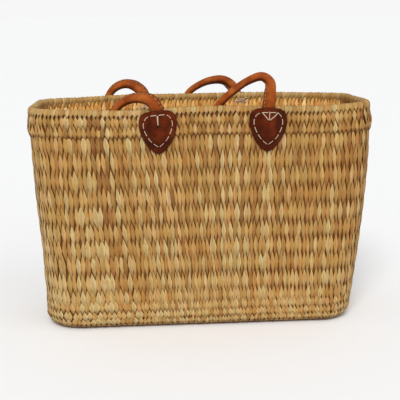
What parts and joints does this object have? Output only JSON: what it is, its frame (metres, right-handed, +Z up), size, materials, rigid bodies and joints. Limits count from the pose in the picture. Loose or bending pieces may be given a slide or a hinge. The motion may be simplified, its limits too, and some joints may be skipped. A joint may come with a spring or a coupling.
{
  "type": "straw basket bag with leather handles",
  "caption": "Woven straw market basket bag with a doubled, rolled rim and folded-down rolled leather handles sewn to heart-shaped leather pads.",
  "frame": {"origin": "centre of the basket's underside, on the surface that it stands on", "axes": "+X to the right along the front, +Y from the front to the back, +Z up"},
  "size_m": [0.4879, 0.236, 0.3659],
  "materials": {
    "straw": "dry woven reed, satin",
    "straw_rim": "folded reed, satin",
    "leather_tan": "oiled, semi-gloss",
    "leather_brown": "waxed, semi-gloss",
    "thread": "waxed linen thread, matt"
  },
  "bodies": {
    "root": {"woven_body": "straw", "collar_band": "straw", "rim_roll": "straw_rim", "handle_front": "leather_tan", "handle_back": "leather_tan", "pad_front_left": "leather_brown", "pad_front_right": "leather_brown", "pad_back_left": "leather_brown", "pad_back_right": "leather_brown"}
  },
  "joints": []
}
